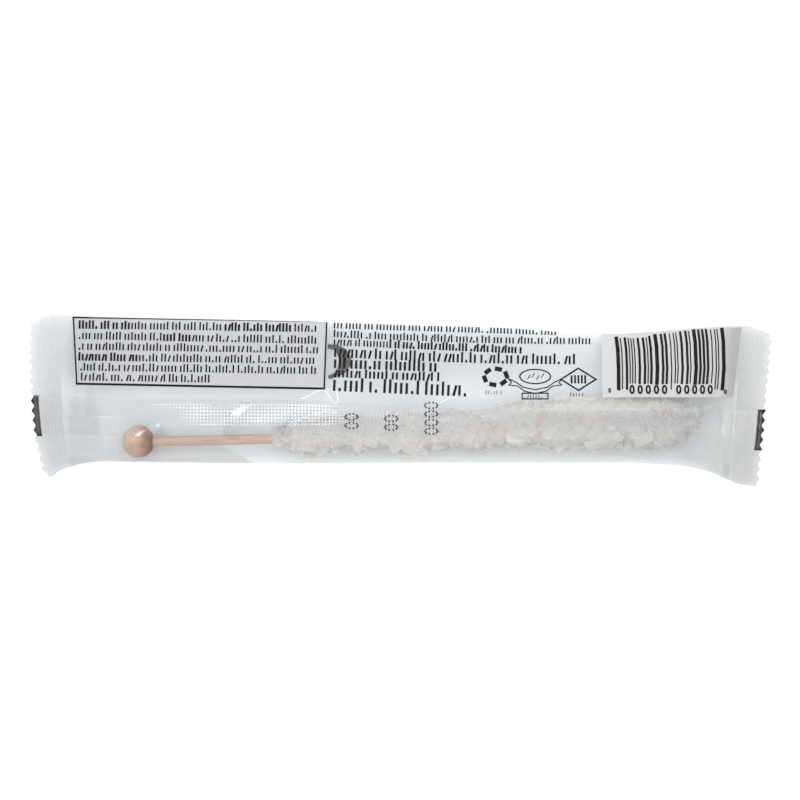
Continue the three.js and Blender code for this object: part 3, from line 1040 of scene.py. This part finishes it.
def line_of_marks(sheet, draw, start, end, height, pitch, weight, sag=0.0, bold=()):
    """A line of fine print as upright ticks in groups like words, heavier over the bold shares."""
    start, end = np.asarray(start, dtype=float), np.asarray(end, dtype=float)
    run = end - start
    length = float(np.hypot(*run))
    ahead = run / length
    upright = np.array([-ahead[1], ahead[0]])
    at = 0.0
    while at < length - pitch:
        for _ in range(int(draw.integers(2, 10))):
            if at > length - pitch:
                break
            share = at / length
            heavy = any(low <= share < high for low, high in bold)
            foot = start + ahead * at + upright * sag * math.sin(math.pi * share)
            tick(sheet, draw, foot, ahead, upright, height, pitch, weight * (BOLD if heavy else 1))
            at += pitch
        at += pitch * 0.55


def tick(sheet, draw, foot, ahead, upright, height, pitch, weight):
    """One mark of fine print: a high, low or slanted upright, or now and then a dot."""
    kind = draw.random()
    tall = height * (1 if kind < 0.3 else 0.74)
    if kind > 0.92:
        tall = weight * 0.3
    lean = pitch * 0.35 if 0.8 < kind < 0.9 else 0
    sheet.stroke((foot, foot + upright * tall + ahead * lean), weight)


FACTS_BOX = ((-92.3, 23.3), (-20.8, 22.2), (-21.4, 3.2), (-91.2, 4.6))
FACTS_LINES = (  # start and end of each line of fine print's feet, and its bold shares
    ((-90.5, 20.4), (-23.0, 19.4), ((0, 0.22), (0.6, 0.88))),
    ((-90.5, 17.4), (-22.2, 16.0), ((0.34, 0.46),)),
    ((-90.5, 14.4), (-22.2, 13.3), ()),
    ((-90.5, 11.4), (-22.2, 10.3), ((0, 0.25),)),
    ((-90.0, 8.5), (-22.2, 7.5), ()),
    ((-89.8, 5.7), (-52.2, 5.1), ()),
)
FACTS_PRINT = (1.8, 0.95, 0.46)  # its height, pitch and weight
LOOSE_LINES = (  # start, end, height, pitch, weight, sag and bold shares of the print beside the box
    ((-18.6, 20.4), (46.0, 18.4), 1.6, 0.95, 0.46, 0.0, ()),
    ((-18.6, 17.9), (55.0, 15.9), 1.7, 0.95, 0.46, -0.5, ()),
    ((-18.6, 15.6), (35.0, 13.3), 1.7, 0.92, 0.45, 0.0, ((0.29, 1.0),)),
    ((-18.4, 12.4), (50.8, 10.3), 2.4, 1.2, 0.6, -0.5, ()),
    ((-18.4, 9.3), (12.0, 8.2), 2.4, 1.3, 0.68, 0.0, ()),
    ((-18.4, 6.7), (12.2, 5.5), 1.9, 1.15, 0.6, 0.0, ()),
    ((-18.6, 2.9), (21.0, 1.2), 3.2, 1.55, 0.72, 0.0, ()),
)


def print_facts(black, pale, draw):
    """The outlined panel of fine print on white."""
    corners = [np.array(c) for c in FACTS_BOX]
    grow = (np.array((-0.35, 0.1)), np.array((0.35, 0.1)), np.array((0.35, -0.4)), np.array((-0.35, -0.4)))
    a, b, c, d = (corner + by for corner, by in zip(corners, grow))
    pale.patch((d, c, b, a), across=46, along=110)
    for (p, q), width in zip(zip(corners, corners[1:] + corners[:1]), (0.45, 0.45, 0.6, 0.45)):
        black.stroke((p, q), width)
    for start, end, bold in FACTS_LINES:
        line_of_marks(black, draw, start, end, *FACTS_PRINT, bold=bold)


# The three marks: their middles, and shapes about them. The label's corners are places on the pack.
RING = np.array((26.7, 6.5))
RING_RADII = np.array((3.1, 2.25))
RING_BLOCKS = 6
EMBLEM = np.array((37.8, 6.6))
EMBLEM_RADII = (4.3, 2.0)
EMBLEM_MARKS = ((-2.1, -0.2), (-0.9, 0.3), (0.4, -0.3), (1.7, 0.2))
RIBBON = ((-7.6, -0.6), (-5.4, -1.6), (-3.4, -3.0), (0, -3.7), (3.4, -3.0), (5.4, -1.6), (7.6, -0.6))
RIBBON_TAIL = ((7.6, -0.6), (6.6, -1.7), (7.4, -2.4), (4.9, -2.7))
LABEL = ((34.1, 0.3), (41.3, 0.3), (41.3, 1.9), (34.1, 1.9))
DIAMOND = np.array((49.9, 5.8))
DIAMOND_CORNERS = ((-4.9, 0), (0, 3.1), (4.9, 0), (0, -3.1))


def print_ring(black, draw):
    """A ring of slanted blocks."""
    for k in range(RING_BLOCKS):
        angle = 2 * math.pi * (k + 0.25) / RING_BLOCKS
        at = RING + RING_RADII * (math.cos(angle), math.sin(angle))
        along = RING_RADII * (-math.sin(angle), math.cos(angle))
        along /= np.hypot(*along)
        black.stroke((at - along * 0.4, at + along * 0.4), 1.25)
    line_of_marks(black, draw, (24.0, 1.8), (29.4, 1.6), 0.9, 0.75, 0.2)


def print_emblem(black, draw):
    """An oval with slanted marks, over a ribbon with two forked tails and an outlined label."""
    black.stroke(oval(EMBLEM, EMBLEM_RADII, 40), 0.36, closed=True)
    for dx, dy in EMBLEM_MARKS:
        black.stroke((EMBLEM + (dx, dy - 0.5), EMBLEM + (dx + 0.7, dy + 0.6)), 0.26)
    black.stroke([EMBLEM + p for p in RIBBON], 0.32)
    black.stroke([EMBLEM + (x * 0.9, y - 1.1) for x, y in RIBBON[1:-1]], 0.32)
    for side in (-1, 1):
        black.stroke([EMBLEM + (side * x, y) for x, y in RIBBON_TAIL], 0.3)
    black.stroke(LABEL, 0.36, closed=True)
    line_of_marks(black, draw, (34.8, 0.65), (40.8, 0.65), 0.9, 0.8, 0.22)


def print_diamond(black, draw):
    """A diamond frame round five short bars."""
    black.stroke([DIAMOND + p for p in DIAMOND_CORNERS], 0.46, closed=True)
    for dx in (-1.9, -0.95, 0, 0.95, 1.9):
        black.stroke((DIAMOND + (dx, -0.9), DIAMOND + (dx, 0.9)), 0.55)
    line_of_marks(black, draw, (47.7, 1.1), (52.0, 1.1), 0.95, 0.8, 0.22)


BARS_FROM, BARS_TO = 60.6, 91.2
BAR_MODULES = 84
BARS_FOOT, GUARD_FOOT = 4.8, 3.2
GUARD_MODULES, MIDDLE_GUARD = 9, 2.5  # at each end, and to each side of the middle
bars_head = profile([(60, 17.4), (68, 17.2), (71, 17.9), (78, 18.9), (85, 19.6), (91.5, 19.9)])
ZERO_GROUPS = ((64.9, 74.0), (78.0, 87.0))  # X of each group's first and last zero
ZEROS_IN_GROUP = 5
ZERO_Y = 2.95
ZERO_SIDES = 14
SMALL_ZEROS = ((58.6, 2.7), (91.5, 2.3))  # beside the outermost bars, and lower than the groups
PANEL = ((56.6, 0.75), (93.7, 0.75), (96.4, 20.6), (56.6, 18.6))


def print_bars(black, white, draw):
    """The white panel with upright bars of random widths, and a row of zeros below."""
    white.patch(PANEL, across=46, along=60)
    module = (BARS_TO - BARS_FROM) / BAR_MODULES
    at = 0
    while at < BAR_MODULES:
        wide = int(draw.choice((1, 1, 1, 2, 2, 3)))
        outer = at < GUARD_MODULES or at > BAR_MODULES - GUARD_MODULES
        guard = outer or abs(at - BAR_MODULES / 2) < MIDDLE_GUARD
        x = BARS_FROM + (at + wide / 2) * module
        foot = GUARD_FOOT if guard else BARS_FOOT
        lean = 0.45 * (x - 62) / 30
        path = [(x - 0.35, bars_head(x)), (x, bars_head(x) - 3.2), (x + 0.1, 9.0), (x - lean, foot)]
        black.stroke(path, wide * module * 0.95)
        at += wide + int(draw.choice((1, 1, 1, 2, 2)))
    for first, last in ZERO_GROUPS:
        for x in np.linspace(first, last, ZEROS_IN_GROUP):
            black.stroke(oval((x, ZERO_Y), (0.5, 1.0), ZERO_SIDES), 0.5, closed=True)
    for middle in SMALL_ZEROS:
        black.stroke(oval(middle, (0.25, 0.5), ZERO_SIDES), 0.3, closed=True)


DOT_COLUMNS = ((-13.7, -5.9, 2), (-2.6, -6.4, 2), (8.6, -5.1, 4))  # middle, and how many rings
DOT_RING_PITCH = 2.4


def print_dots(black):
    """Dot-matrix rings, printed across the seam's fin."""
    for x, y, rings in DOT_COLUMNS:
        for k in range(rings):
            ring_y = y + (k - (rings - 1) / 2) * DOT_RING_PITCH
            for middle in oval((x, ring_y), (1.8, 0.8), 10):
                black.blob(middle, (0.27, 0.27), 8)


LEFT_MARK = (-10.2, 1.3)
RIGHT_MARK = (-14.2, -2.7)
MARK_WIDTH = 2.3
MARK_ROWS = 14  # enough to follow the ridges of the crimp


def print_register_marks(black):
    """Solid blocks at the cut ends, trimmed by the same zigzag as the film."""
    for cut, side, (low, high) in ((left_cut, -1, LEFT_MARK), (right_cut, 1, RIGHT_MARK)):
        y = np.linspace(low, high, 90)
        outer = cut(y) - side * tooth(y) - side * 0.05
        inner = cut(y) - side * MARK_WIDTH
        first = len(black.points)
        rows = [np.stack([outer + (inner - outer) * t, y], axis=-1) for t in np.linspace(0, 1, MARK_ROWS)]
        black.faces += grid_faces(MARK_ROWS, len(y), first=first)
        black.points += np.concatenate(rows).tolist()


FRONT_PATH = (
    (-20.6, 15.2), (-18.6, 14.9), (-16.6, 13.4), (-15.6, 11.2), (-16.4, 8.9), (-18.2, 7.2), (-20.4, 6.4),
)
FRONT_WIDTHS = (1.2, 1.5, 2.8, 3.4, 2.8, 1.4, 1.0)
FRONT_ABOVE = 0.06


def print_front():
    """A rounded dark field of the front's print, seen through the back."""
    along = np.linspace(0, 1, len(FRONT_PATH))
    t = np.linspace(0, 1, 60)
    x, y, width = (profile(list(zip(along, column)))(t) for column in (*zip(*FRONT_PATH), FRONT_WIDTHS))
    run = np.stack([np.gradient(x), np.gradient(y)], axis=-1)
    run /= np.hypot(run[:, 0], run[:, 1])[:, None]
    side = np.stack([-run[:, 1], run[:, 0]], axis=-1)
    middle = np.stack([x, y], axis=-1)
    rows = [middle + side * (width * share)[:, None] for share in np.linspace(-0.5, 0.5, 5)]
    points = np.stack(rows, axis=1).reshape(-1, 2)
    at = station(points[:, 0], points[:, 1])
    verts = np.column_stack([points, front(at, points[:, 1]) + FRONT_ABOVE])
    piece("print_front", verts, grid_faces(len(t), 5), FRONT_INK)


def make_print():
    """All the print: fine print, marks and bars on the back, dots on the fin, a field on the front."""
    draw = np.random.default_rng(SEED + 5)
    black, white, pale = Sheet(INK_ABOVE), Sheet(PANEL_ABOVE), Sheet(PANEL_ABOVE)
    print_facts(black, pale, draw)
    for line in LOOSE_LINES:
        line_of_marks(black, draw, *line)
    print_ring(black, draw)
    print_emblem(black, draw)
    print_diamond(black, draw)
    print_bars(black, white, draw)
    print_register_marks(black)
    black.lay("print_black", BLACK_INK, "black_ink")
    white.lay("print_white", WHITE_INK, "white_ink")
    pale.lay("print_pale", PALE_INK, "white_ink")
    print_front()
    dots = Sheet(FIN_GAP + FIN_THICKNESS + KNURL_DEPTH + 0.35)
    print_dots(dots)
    dots.lay("print_dots", BLACK_INK, "black_ink")


# Sharp creases in the back, along which pale strokes are painted highlights for their thin glints.
CREASE_GLINT_PATHS = (
    ((-28.4, 0.3), (-26.8, 0.7), (-25.6, 1.3), (-24.5, 1.9), (-23.3, 2.5), (-21.6, 2.9)),
    ((-21.2, 2.8), (-20.3, 1.7), (-19.4, 0.3), (-18.6, -0.8)),
    ((-18.0, 2.4), (-17.6, 1.2), (-17.5, 0.0), (-17.9, -0.9), (-18.6, -0.8)),
    ((10.9, -0.8), (12.6, 0.1), (14.5, 0.8), (19.5, 1.9)),
)
CREASE_GLINT_WIDTH = 0.3


def make_crease_glints():
    """Thin hazy strokes laid on the film along those creases: painted highlights."""
    lines = Sheet(INK_ABOVE)
    for crease in CREASE_GLINT_PATHS:
        lines.stroke(crease, CREASE_GLINT_WIDTH)
    lines.lay("film_crease_glints", CREASE_GLINT, "film")


# ---- Stage ----

VIEW_WIDTH = 225.5  # what the picture's width takes in, at the height of the pack
VIEW_CENTRE = (-0.14, 0.0)
CAMERA_HEIGHT = 1300.0
VIEW_HEIGHT = 5.0  # of the plane that VIEW_WIDTH is measured in
SENSOR = 36.0


def make_camera():
    """The camera straight above the pack, as in the photograph."""
    data = bpy.data.cameras.new("camera")
    data.sensor_width = SENSOR
    data.lens = SENSOR * (CAMERA_HEIGHT - VIEW_HEIGHT) / VIEW_WIDTH
    data.clip_start, data.clip_end = 0.05, 20
    camera = add_object("camera", data)
    camera.location = (VIEW_CENTRE[0] * MM, VIEW_CENTRE[1] * MM, CAMERA_HEIGHT * MM)
    bpy.context.scene.camera = camera


LIGHTS = (  # name, place, width and height in metres, brightness of its face
    ("overhead", (-0.1, 0.25, 1.5), (3.4, 2.6), 1.56),
    ("back_left", (-0.84, 0.71, 0.22), (0.7, 0.3), 4.3),
    ("back", (-0.05, 1.05, 0.3), (1.3, 0.3), 2.8),
    ("back_right", (0.82, 0.62, 0.3), (0.6, 0.3), 4.2),
)
WORLD_LIGHT = 0.74


def make_light(name, place, sides, radiance):
    """A softbox at this place, aimed at the pack."""
    data = bpy.data.lights.new(name, "AREA")
    data.shape = "RECTANGLE"
    data.size, data.size_y = sides
    data.energy = radiance * math.pi * sides[0] * sides[1]
    light = add_object(name, data)
    light.location = place
    light.rotation_mode = "QUATERNION"
    light.rotation_quaternion = (-Vector(place)).to_track_quat("-Z", "Y")


FLOOR_HALF = 3.0  # in metres, as the lights are
FLOOR_DROP = 0.0001  # the floor lies just under the pack


def make_floor():
    """The plain pale floor."""
    made, tree = material("floor")
    shader = node(tree, "BsdfPrincipled", {
        "Base Color": ramp(tree, noise(tree, 60), (0.3, (0.88, 0.88, 0.885)), (0.7, grey(0.9))),
        "Roughness": spread(tree, noise(tree, 20), 0.6, 0.7),
    })
    mesh = bpy.data.meshes.new("floor")
    side = np.linspace(-FLOOR_HALF, FLOOR_HALF, 13)
    x, y = np.meshgrid(side, side, indexing="ij")
    verts = np.stack([x, y, 0 * x - FLOOR_DROP], axis=-1).reshape(-1, 3)
    mesh.from_pydata(verts.tolist(), [], grid_faces(len(side), len(side)))
    mesh.materials.append(finished(made, shader))
    floor = add_object("floor", mesh)


def make_stage():
    """The floor, the camera, the white surroundings and the lights."""
    world = bpy.data.worlds.new("world")
    world.use_nodes = True
    background = world.node_tree.nodes["Background"]
    background.inputs["Color"].default_value = (1, 1, 1, 1)
    background.inputs["Strength"].default_value = WORLD_LIGHT
    bpy.context.scene.world = world
    bpy.context.scene.view_settings.view_transform = "Standard"
    bpy.context.scene.cycles.transparent_max_bounces = 64
    make_floor()
    make_camera()
    for name, place, size, radiance in LIGHTS:
        make_light(name, place, size, radiance)


draw = np.random.default_rng(SEED)
make_stage()
make_film_body()
make_film_end("film_end_left", -1)
make_film_end("film_end_right", 1)
make_fin()
make_knurl()
make_handle(draw)
make_candy_core()
make_candy(draw)
make_clear_crystals(draw)
make_print()
make_crease_glints()
